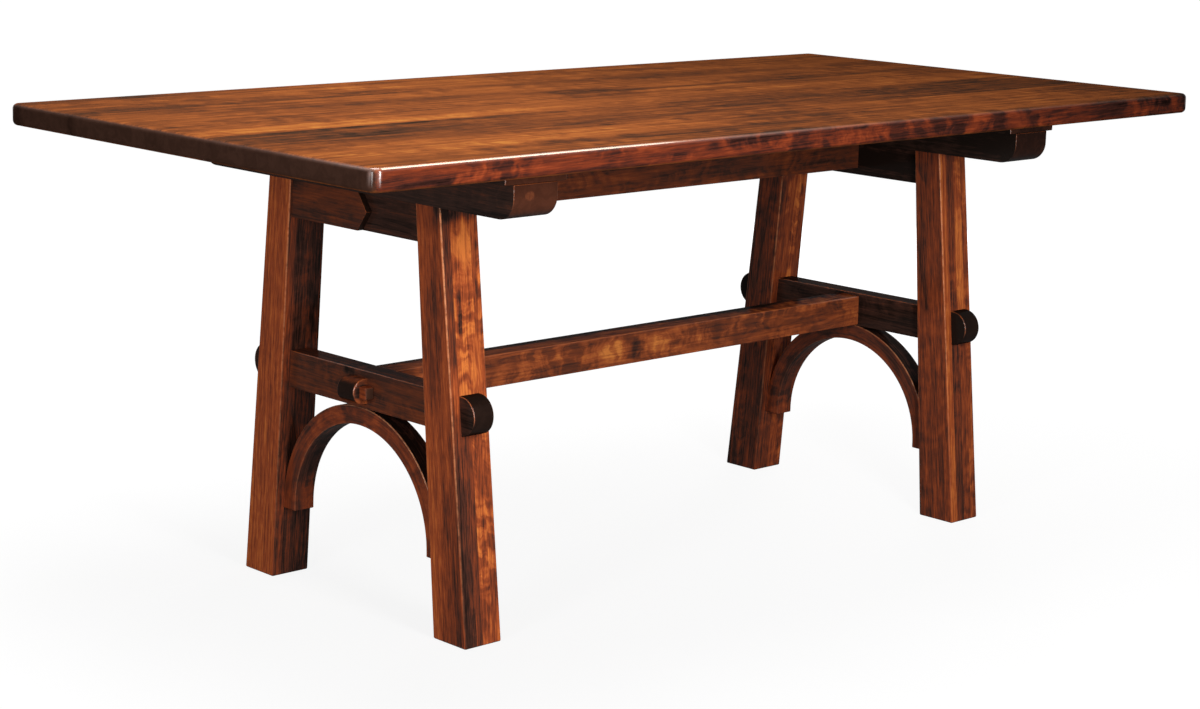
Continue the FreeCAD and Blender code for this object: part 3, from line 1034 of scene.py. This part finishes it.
# Strips (tone, figure) of each leg board and the tone added on its front edge. Some cores are
# glued up from two strips, the first on the side of the larger X.
LEG_STRIPS = {
    "left_front_leg_outer_board": (((0.07, 0.10),), -0.20),
    "left_front_leg_inner_board": (((0.04, 0.8),), 0.0),
    "left_front_leg_core_upper": (((0.10, 0.8),), 0.0),
    "left_front_leg_core_lower": (((0.05, 0.9), (-0.19, 0.15)), 0.0),
    # The far left leg's front, in the near leg's shade, is darkened by these tones: painted shade, with
    # darker boards.
    "left_back_leg_outer_board": (((0.11, 0.15),), -0.34),
    "left_back_leg_inner_board": (((-0.32, 0.25),), 0.0),
    "left_back_leg_core_upper": (((-0.34, 0.25),), 0.0),
    "left_back_leg_core_lower": (((-0.28, 0.3), (-0.32, 0.25)), 0.0),
    "right_front_leg_inner_board": (((-0.15, 0.15),), 0.30),
    "right_front_leg_outer_board": (((0.04, 0.6),), 0.0),
    "right_front_leg_core_upper": (((0.15, 0.6), (-0.12, 0.3)), 0.0),
    "right_front_leg_core_lower": (((-0.14, 0.5), (-0.26, 0.3)), 0.0),
    "right_back_leg_inner_board": (((-0.29, 0.3),), 0.10),
    "right_back_leg_outer_board": (((0.02, 0.6),), 0.0),
    "right_back_leg_core_upper": (((0.06, 0.7), (-0.02, 0.5)), 0.0),
    "right_back_leg_core_lower": (((-0.04, 0.5), (-0.12, 0.3)), 0.0),
}
# Wear and painted highlight of a leg's arrises at its head, from where they fade down to the foot.
RUB_AND_HIGHLIGHT_HEAD = 0.5
RUB_AND_HIGHLIGHT_HEADS = {"left_front_leg_outer_board": 0.9, "right_front_leg_inner_board": 0.8}


def half_of(bm, seam, way):
    """The part of a board on one side of an upright glue line across X."""
    half = bm.copy()
    saw_off(half, (seam, 0, 0), (way, 0, 0))
    return half


def make_legs(material):
    seed = LEG_SEED
    for node, (looks, front_tone) in LEG_STRIPS.items():
        side = -1 if "_front_" in node else 1
        along = (0, side * (head_middle - foot_middle), leg_length)
        heart = LEG_HEARTS[node.split("_leg_")[1]]
        bm = cut_board(node, leg_arris, rub_and_highlight_to_ends=True)
        rub_and_highlight = bm.verts.layers.float["arris"]
        at_head = RUB_AND_HIGHLIGHT_HEADS.get(node, RUB_AND_HIGHLIGHT_HEAD)
        for vertex in bm.verts:
            vertex[rub_and_highlight] *= at_head * min(vertex.co.z / leg_length, 1.0)
        if len(looks) == 1:
            strips = [bm]
        else:
            seam = middle_of(node).x
            strips = [half_of(bm, seam, -1), half_of(bm, seam, 1)]
            bm.free()
        parts = []
        for strip, (tone, figure) in zip(strips, looks):
            seed += 1
            grain = Grain(along, ALONG, middle_of(node), heart, LEG_LEAN, seed)
            parts.append((strip, grain, tone, figure, front_tone))
        finish_board(node, parts, material)


# How much darker the rails of the right trestle are than those of the left one.
RIGHT_END_DARKER = 0.14


def dress_rail(node, along, across, heart, radius, tone, figure, material, seed, body="table"):
    """Rail from its solid: the way of its grain, its arrises in millimetres and its looks."""
    grain = Grain(along, across, middle_of(node), heart, RAIL_LEAN, seed)
    bm = cut_board(node, radius * MM)
    finish_board(node, [(bm, grain, tone, figure, 0.0)], material, body)


def make_rails(rail_material, bearer_material, key_material):
    # Ways along and across the grain, heart, arris in millimetres, tone, figure and wood.
    plan = {
        # The dark tones of the cross rails, bearers and cleats are partly dark wood and partly painted
        # shade under the top.
        "upper_cross_rail": (ACROSS, UP, (0.01, 0.05), 1.5, -0.275, 0.15, rail_material),
        "pointed_lap": (ACROSS, UP, (0.0, 0.04), 0.8, -0.14, 0.15, rail_material),
        "lower_rail": (ACROSS, UP, (0.02, 0.06), 1.5, -0.185, 0.2, rail_material),
        "bearer": (ACROSS, UP, (0.01, 0.08), 2.0, -0.34, 0.1, bearer_material),
        "cleat_strip": (ACROSS, ALONG, (0.02, 0.06), 1.5, -0.36, 0.2, bearer_material),
        "tusk_key": (ACROSS, UP, (0.0, 0.03), 0.4, -0.03, 0.2, key_material),
    }
    seed = RAIL_SEED
    for end in ENDS:
        darker = RIGHT_END_DARKER if end == "right" else 0.0
        for part, (along, across, heart, radius, tone, figure, material) in plan.items():
            seed += 1
            body = end + "_key" if part == "tusk_key" else "table"
            looks = (tone - darker, figure, material)
            dress_rail(f"{end}_{part}", along, across, heart, radius, *looks, seed, body)
    for node, radius, tone, figure in (("stretcher", 2.0, 0.03, 0.6), ("long_rail", 1.5, -0.15, 0.3)):
        seed += 1
        dress_rail(node, ALONG, UP, (0.01, 0.05), radius, tone, figure, rail_material, seed)


# ---------------------------------------------------------------- arches and screws

def identifier_of(tree, label):
    """Identifier of a tree's named input."""
    for item in tree.interface.items_tree:
        if item.item_type == "SOCKET" and item.in_out == "INPUT" and item.name == label:
            return item.identifier
    raise KeyError(label)


def grow(name, tree, values):
    """Runs a geometry tree with its named inputs set, and keeps the plain mesh."""
    piece = bpy.data.objects.new(name, bpy.data.meshes.new(name))
    modifier = piece.modifiers.new(tree.name, "NODES")
    modifier.node_group = tree
    for label, value in values.items():
        modifier[identifier_of(tree, label)] = value
    scene.collection.objects.link(piece)
    keep_plain_mesh(piece)
    return piece


def end_tree(w, result, shape, material):
    """Ends a geometry tree in plain geometry that wears its material."""
    shape = w.made("GeometryNodeRealizeInstances", {"Geometry": shape})
    shape = w.made("GeometryNodeSetMaterial", {"Geometry": shape, "Material": material})
    w.feed(result["Geometry"], shape)
    return w.tree


def make_arch_tree():
    """Rib bent round a half circle, its feet and crown trimmed to the legs and the rail."""
    w, given, result = new_group(
        "bent_rib",
        [
            ("Middle Radius", FLOAT, arch_radius),
            ("Foot Length", FLOAT, arch_foot),
            ("Centre Height", FLOAT, arch_centre),
            ("Rib Depth", FLOAT, arch_depth),
            ("Rib Thickness", FLOAT, arch_thickness),
            ("Edge Round", FLOAT, arch_arris),
            ("Floor Half Width", FLOAT, leg_foot_inside),
            ("Leg Lean", FLOAT, leg_lean_inside),
            ("Rail Underside", FLOAT, lower_rail_underside),
            ("Place Along", FLOAT, 0.0),
            ("Steps", "NodeSocketInt", 96),
            ("Wood", SURFACE, None),
        ],
        [("Geometry", GEOMETRY)],
        "GeometryNodeTree",
    )
    line = w.made("GeometryNodeCurvePrimitiveLine")
    line = w.made("GeometryNodeResampleCurve", {"Curve": line, "Count": given["Steps"]})
    share = w.add("GeometryNodeSplineParameter").outputs["Factor"]
    bend = w.math("MULTIPLY", given["Middle Radius"], math.pi)
    whole = w.math("MULTIPLY_ADD", given["Foot Length"], 2.0, bend)
    past_foot = w.math("SUBTRACT", w.math("MULTIPLY", share, whole), given["Foot Length"])
    on_bend = w.math("MINIMUM", w.math("MAXIMUM", past_foot, 0.0), bend)
    turn = w.math("DIVIDE", on_bend, given["Middle Radius"])
    first_foot = w.math("MINIMUM", past_foot, 0.0)
    last_foot = w.math("MAXIMUM", w.math("SUBTRACT", past_foot, bend), 0.0)
    to_front = w.math("MULTIPLY", given["Middle Radius"], -1.0)
    across = w.math("MULTIPLY", w.math("COSINE", turn), to_front)
    height = w.math("MULTIPLY_ADD", w.math("SINE", turn), given["Middle Radius"], given["Centre Height"])
    height = w.math("SUBTRACT", w.math("ADD", height, first_foot), last_foot)
    path = w.joined(Y=across, Z=height)
    line = w.made("GeometryNodeSetPosition", {"Geometry": line, "Position": path})
    upright = {"Curve": line, "Normal": (1.0, 0.0, 0.0)}
    line = w.made("GeometryNodeSetCurveNormal", upright, mode="FREE")
    size = {"Width": given["Rib Thickness"], "Height": given["Rib Depth"]}
    section = w.made("GeometryNodeCurvePrimitiveQuadrilateral", size)
    eased = {"Curve": section, "Count": arris_steps, "Radius": given["Edge Round"]}
    section = w.made("GeometryNodeFilletCurve", eased, mode="POLY")
    swept = {"Curve": line, "Profile Curve": section, "Fill Caps": True}
    rib = w.made("GeometryNodeCurveToMesh", swept)
    parts = w.parts(w.made("GeometryNodeInputPosition"))
    lean = w.math("MULTIPLY", parts["Z"], given["Leg Lean"])
    limit = w.math("SUBTRACT", given["Floor Half Width"], lean)
    inside = w.math("MAXIMUM", parts["Y"], w.math("MULTIPLY", limit, -1.0))
    trimmed = w.joined(
        X=w.math("ADD", parts["X"], given["Place Along"]),
        Y=w.math("MINIMUM", inside, limit),
        Z=w.math("MINIMUM", parts["Z"], given["Rail Underside"]),
    )
    rib = w.made("GeometryNodeSetPosition", {"Geometry": rib, "Position": trimmed})
    return end_tree(w, result, rib, given["Wood"])


# Tone and figure of the arches' sides.
ARCH_LOOKS = (-0.10, 0.45)
# Painted shade: tone of an arch's inner face at its crown, and what it gains towards the feet.
INSIDE_OF_ARCH_SHADE = {"left": (-0.38, 0.28), "right": (-0.16, 0.12)}
# Painted shade: tone of an arch's outer face, under the rail and the top.
OUTSIDE_OF_ARCH_SHADE = -0.42
# Wear and painted highlight of the inner arrises, of the outer ones, and what those gain towards the
# front.
RUB_AND_HIGHLIGHT_ARCH = (0.12, 0.35, 0.9)
# Share of that wear and painted highlight on each end's arch.
RUB_AND_HIGHLIGHT_AT_END = {"left": 1.0, "right": 0.5}


def ease_arch_feet(bm):
    """Rounds the rims on which an arch stands."""
    on_floor = min(vertex.co.z for vertex in bm.verts) + merge_distance
    rim = [
        edge
        for edge in bm.edges
        if all(vertex.co.z < on_floor for vertex in edge.verts)
        and edge.calc_face_angle(0.0) > arris_angle
    ]
    ease_edges(bm, rim, arch_foot_arris)


def shade_and_rub_arch(bm, centre, end):
    """Rubs the long arrises of an arch with wear and painted highlight, and darkens its inner and outer
    faces with painted shade.
    """
    arris = bm.verts.layers.float["arris"]
    tone = bm.verts.layers.float["board_tone"]
    inner, outer, to_front = RUB_AND_HIGHLIGHT_ARCH
    crown, gain = INSIDE_OF_ARCH_SHADE[end]
    margin = 0.1 * MM
    for vertex in bm.verts:
        away = vertex.co - centre
        out = math.hypot(away.y, max(away.z, 0.0))
        past_side = abs(away.x) - (arch_thickness / 2 - arch_arris)
        past_rib = abs(out - arch_radius) - (arch_depth / 2 - arch_arris)
        if past_rib <= margin:
            continue
        if past_side > margin:
            front = outer + to_front * max(-away.y, 0.0) / arch_radius
            vertex[arris] = RUB_AND_HIGHLIGHT_AT_END[end] * (front if out > arch_radius else inner)
        elif out > arch_radius:
            vertex[tone] = OUTSIDE_OF_ARCH_SHADE
        else:
            low = 1.0 - min(max(away.z, 0.0) / arch_radius, 1.0)
            vertex[tone] = crown + gain * low ** 2


def make_arches(material):
    tree = make_arch_tree()
    for order, end in enumerate(ENDS):
        node = end + "_arch"
        place = SIDE_OF_END[end] * trestle_middle
        centre = Vector((place, 0.0, arch_centre))
        piece = grow(node + "_dressed", tree, {"Place Along": place, "Wood": material})
        bm = bmesh.new()
        bm.from_mesh(piece.data)
        bmesh.ops.remove_doubles(bm, verts=bm.verts, dist=merge_distance)
        bmesh.ops.recalc_face_normals(bm, faces=bm.faces)
        ease_arch_feet(bm)
        bm.verts.layers.float.new("arris")
        carry_grain(bm, BentGrain(centre, arch_radius, ARCH_SEED + order), *ARCH_LOOKS)
        shade_and_rub_arch(bm, centre, end)
        bm.to_mesh(piece.data)
        bm.free()
        even_normals(piece)
        settle(piece, "table", material, [node])


def by_index(w, values):
    """Value of each point, in the order of the points."""
    switch = w.add("GeometryNodeIndexSwitch", data_type="FLOAT")
    while len(switch.index_switch_items) < len(values):
        switch.index_switch_items.new()
    w.feed(switch.inputs["Index"], w.made("GeometryNodeInputIndex"))
    for order, value in enumerate(values):
        w.feed(switch.inputs[order + 1], value)
    return switch.outputs[0]


def make_screw_tree():
    """Row of four socket-head screws driven upwards, mirrored about the row's middle."""
    w, given, result = new_group(
        "screw_row",
        [
            ("Inner Offset", FLOAT, 125 * MM),
            ("Outer Offset", FLOAT, 335 * MM),
            ("Place Along", FLOAT, 0.0),
            ("Head Underside", FLOAT, 672 * MM),
            ("Head Depth", FLOAT, 5 * MM),
            ("Head Radius", FLOAT, 6.5 * MM),
            ("Head Chamfer", FLOAT, 0.7 * MM),
            ("Socket Radius", FLOAT, 2.6 * MM),
            ("Socket Depth", FLOAT, 3 * MM),
            ("Shank Radius", FLOAT, 3 * MM),
            ("Shank Top", FLOAT, 745 * MM),
            ("Point Top", FLOAT, 750 * MM),
            ("Turn of Next", FLOAT, 0.7),
            ("Steel", SURFACE, None),
        ],
        [("Geometry", GEOMETRY)],
        "GeometryNodeTree",
    )
    shoulder = w.math("ADD", given["Head Underside"], given["Head Depth"])
    narrow = w.math("SUBTRACT", given["Head Radius"], given["Head Chamfer"])
    outline = (
        (given["Head Underside"], narrow),
        (w.math("ADD", given["Head Underside"], given["Head Chamfer"]), given["Head Radius"]),
        (w.math("SUBTRACT", shoulder, 0.1 * MM), given["Head Radius"]),
        (shoulder, given["Shank Radius"]),
        (given["Shank Top"], given["Shank Radius"]),
        (given["Point Top"], 0.2 * MM),
    )
    axis = w.made("GeometryNodeCurvePrimitiveLine")
    axis = w.made("GeometryNodeResampleCurve", {"Curve": axis, "Count": len(outline)})
    height = w.joined(Z=by_index(w, [level for level, radius in outline]))
    axis = w.made("GeometryNodeSetPosition", {"Geometry": axis, "Position": height})
    ring = w.made("GeometryNodeCurvePrimitiveCircle", {"Resolution": 32, "Radius": 1.0})
    radii = by_index(w, [radius for level, radius in outline])
    turned = {"Curve": axis, "Profile Curve": ring, "Scale": radii, "Fill Caps": True}
    screw = w.made("GeometryNodeCurveToMesh", turned)
    depth = w.math("MULTIPLY", given["Socket Depth"], 2.0)
    hexagon = {"Vertices": 6, "Radius": given["Socket Radius"], "Depth": depth}
    socket = w.made("GeometryNodeMeshCylinder", hexagon)
    low = w.joined(Z=given["Head Underside"])
    socket = w.made("GeometryNodeTransform", {"Geometry": socket, "Translation": low})
    cut = w.add("GeometryNodeMeshBoolean", operation="DIFFERENCE", solver="EXACT")
    w.feed(cut.inputs[0], screw)
    w.feed(cut.inputs[1], socket)
    offsets = by_index(
        w,
        [
            w.math("MULTIPLY", given["Outer Offset"], -1.0),
            w.math("MULTIPLY", given["Inner Offset"], -1.0),
            given["Inner Offset"],
            given["Outer Offset"],
        ],
    )
    row = w.made("GeometryNodeMeshLine", {"Count": 4})
    places = w.joined(X=given["Place Along"], Y=offsets)
    row = w.made("GeometryNodeSetPosition", {"Geometry": row, "Position": places})
    turn = w.joined(Z=w.math("MULTIPLY", w.made("GeometryNodeInputIndex"), given["Turn of Next"]))
    copies = {"Points": row, "Instance": cut.outputs[0], "Rotation": turn}
    screws = w.made("GeometryNodeInstanceOnPoints", copies)
    return end_tree(w, result, screws, given["Steel"])


def make_top_screws(material):
    tree = make_screw_tree()
    for end in ENDS:
        node = end + "_top_screws"
        place = SIDE_OF_END[end] * trestle_middle
        piece = grow(node + "_dressed", tree, {"Place Along": place, "Steel": material})
        settle(piece, "table", material, [node])


def dress_hidden_nodes(steel, dowel):
    """Gives their finishes to the solids that stay as they are."""
    for end in ENDS:
        for part, material in (("cleat_screws", steel), ("arch_dowels", dowel)):
            mesh = nodes[f"{end}_{part}"].data
            mesh.materials.clear()
            mesh.materials.append(material)


for make_group in (
    make_growth_rings,
    make_fibres,
    make_curl,
    make_blotches,
    make_arris_rub_and_highlight,
    make_placed_patch,
    make_board_stain,
):
    make_group()

# Darker and lighter patches of the woods, some of them painted shade: middle, half size and the tone
# that they add.
TOP_PATCHES = [
    ((x, y, 0.745), (half_length, half_width, 1.0), amount)
    for x, y, half_length, half_width, amount in (
        (-0.62, 0.276, 0.40, 0.018, -0.14),
        (-0.54, -0.086, 0.42, 0.016, -0.15),
        (-0.60, -0.036, 0.50, 0.028, 0.17),
        (-0.26, -0.382, 0.40, 0.024, -0.18),
        (-0.60, -0.300, 0.50, 0.055, 0.12),
        # Painted shade: the right of the top darker, where less lamp light falls.
        (0.66, -0.160, 0.34, 0.080, -0.12),
        (0.00, 0.115, 0.13, 0.050, -0.12),
        (0.22, 0.133, 0.20, 0.014, 0.14),
        (0.48, 0.085, 0.14, 0.050, -0.12),
        (-0.84, 0.440, 0.20, 0.024, -0.16),
        (-0.58, 0.055, 0.36, 0.040, -0.09),
        (-0.20, 0.360, 0.44, 0.040, 0.12),
        (-0.64, -0.160, 0.24, 0.050, -0.10),
        # Painted shade on the right end of the top and the right half of its front edge.
        (0.86, -0.300, 0.10, 0.120, -0.12),
        (0.62, -0.457, 0.50, 0.020, -0.12),
    )
] + [
    ((-0.70, -0.457, 0.731), (0.30, 0.020, 0.007), -0.07),
    ((-0.84, -0.457, 0.741), (0.09, 0.020, 0.011), -0.16),
]
LEG_PATCHES = (
    ((-0.598, -0.27, 0.130), (0.020, 0.05, 0.270), -0.24),
    ((-0.574, -0.23, 0.493), (0.005, 0.06, 0.042), -0.36),
    ((-0.537, -0.22, 0.583), (0.007, 0.06, 0.020), -0.26),
    ((-0.538, -0.23, 0.530), (0.006, 0.06, 0.016), -0.28),
    # Painted shadow of the bearer on the head of the near left leg's front.
    ((-0.560, -0.22, 0.660), (0.070, 0.03, 0.030), -0.50),
    # Painted shade under the top on the head of the near left leg's outer face.
    ((-0.602, -0.20, 0.660), (0.006, 0.05, 0.050), -0.12),
    ((-0.560, -0.22, 0.600), (0.014, 0.05, 0.040), 0.22),
    ((-0.545, -0.24, 0.420), (0.012, 0.05, 0.050), 0.16),
    ((-0.590, -0.24, 0.385), (0.005, 0.04, 0.040), 0.30),
    ((-0.595, -0.20, 0.470), (0.030, 0.020, 0.130), -0.22),
)
RAIL_PATCHES = (
    # Painted contact shadow round the key where it comes out of the tusk.
    ((-0.594, -0.021, 0.3455), (0.013, 0.006, 0.0135), -0.30),
    ((-0.580, 0.165, 0.680), (0.050, 0.055, 0.050), -0.20),
    ((-0.600, 0.020, 0.668), (0.020, 0.045, 0.022), 0.10),
    ((0.330, -0.030, 0.345), (0.270, 0.010, 0.040), -0.14),
    ((-0.065, -0.025, 0.346), (0.036, 0.006, 0.020), 0.26),
    ((-0.016, -0.025, 0.342), (0.012, 0.006, 0.024), -0.20),
    ((0.030, -0.025, 0.348), (0.028, 0.006, 0.018), 0.24),
    ((0.250, 0.010, 0.380), (0.300, 0.040, 0.010), -0.22),
    ((-0.050, 0.022, 0.372), (0.650, 0.018, 0.012), -0.42),
    ((-0.565, 0.020, 0.382), (0.050, 0.180, 0.010), -0.09),
)
BEARER_PATCHES = (
    ((0.565, -0.380, 0.68), (0.060, 0.040, 0.050), -0.28),
    ((-0.576, -0.380, 0.690), (0.011, 0.006, 0.009), 0.40),
)

top_wood = stained_wood(
    "top_wood",
    ring_width=0.006,
    ring_depth=0.10,
    fibre_depth=0.08,
    line_depth=0.075,
    streak_depth=0.09,
    bands=26.0,
    blotch_depth=0.08,
    curl_depth=0.34,
    tint=(0.76, 1.08, 1.02, 1),
    side_tint=(0.80, 0.72, 0.80, 1),
    end=(0.060, 0.0280, 0.0190, 1),
    side_figure=("Y", 0.42, 0.09),
    wear_and_highlight=0.35,
    lacquer=0.0,
    shine_of_arris=0.95,
    coat_ior=2.2,
    patches=TOP_PATCHES,
)
leg_wood = stained_wood(
    "leg_wood",
    ring_width=0.0030,
    ring_depth=0.17,
    fibre_depth=0.14,
    line_depth=0.11,
    streak_depth=0.06,
    waviness=0.0035,
    wear_and_highlight=1.2,
    # Bright worn colour on the legs' arrises: wear and painted highlight.
    worn_and_highlight=(0.80, 0.29, 0.12, 1),
    bands=48.0,
    curl_depth=0.34,
    blotch_depth=0.20,
    tone=0.06,
    shine_of_arris=0.08,
    patches=LEG_PATCHES,
)
rail_wood = stained_wood(
    "rail_wood",
    ring_depth=0.14,
    line_depth=0.05,
    streak_depth=0.06,
    lacquer=0.03,
    tint=(0.90, 1.05, 1.10, 1),
    end=(0.021, 0.0105, 0.0075, 1),
    dark_zone=("Y", 0.222, 0.240, 0.6),
    patches=RAIL_PATCHES,
)
arch_wood = stained_wood(
    "arch_wood",
    ring_depth=0.12,
    line_depth=0.06,
    streak_depth=0.07,
    wear_and_highlight=0.9,
    # Bright worn colour on the arches' arrises: wear and painted highlight.
    worn_and_highlight=(0.88, 0.36, 0.16, 1),
    shine_of_arris=0.35,
)
bearer_wood = stained_wood(
    "bearer_wood",
    ring_depth=0.08,
    line_depth=0.04,
    streak_depth=0.05,
    wear_and_highlight=1.0,
    tint=(0.85, 1.10, 1.20, 1),
    end=(0.085, 0.026, 0.013, 1),
    patches=BEARER_PATCHES,
)
key_wood = stained_wood("key_wood", wear_and_highlight=0.3, end=(0.075, 0.0330, 0.0210, 1), shine_of_arris=0.4)
screw_steel = zinc_steel("screw_steel")
dowel_wood = plain_dowel_wood("dowel_wood")

make_camera()
make_floor()
make_sky()
make_lamps()

make_top(top_wood)
make_legs(leg_wood)
make_rails(rail_wood, bearer_wood, key_wood)
make_arches(arch_wood)
make_top_screws(screw_steel)
dress_hidden_nodes(screw_steel, dowel_wood)
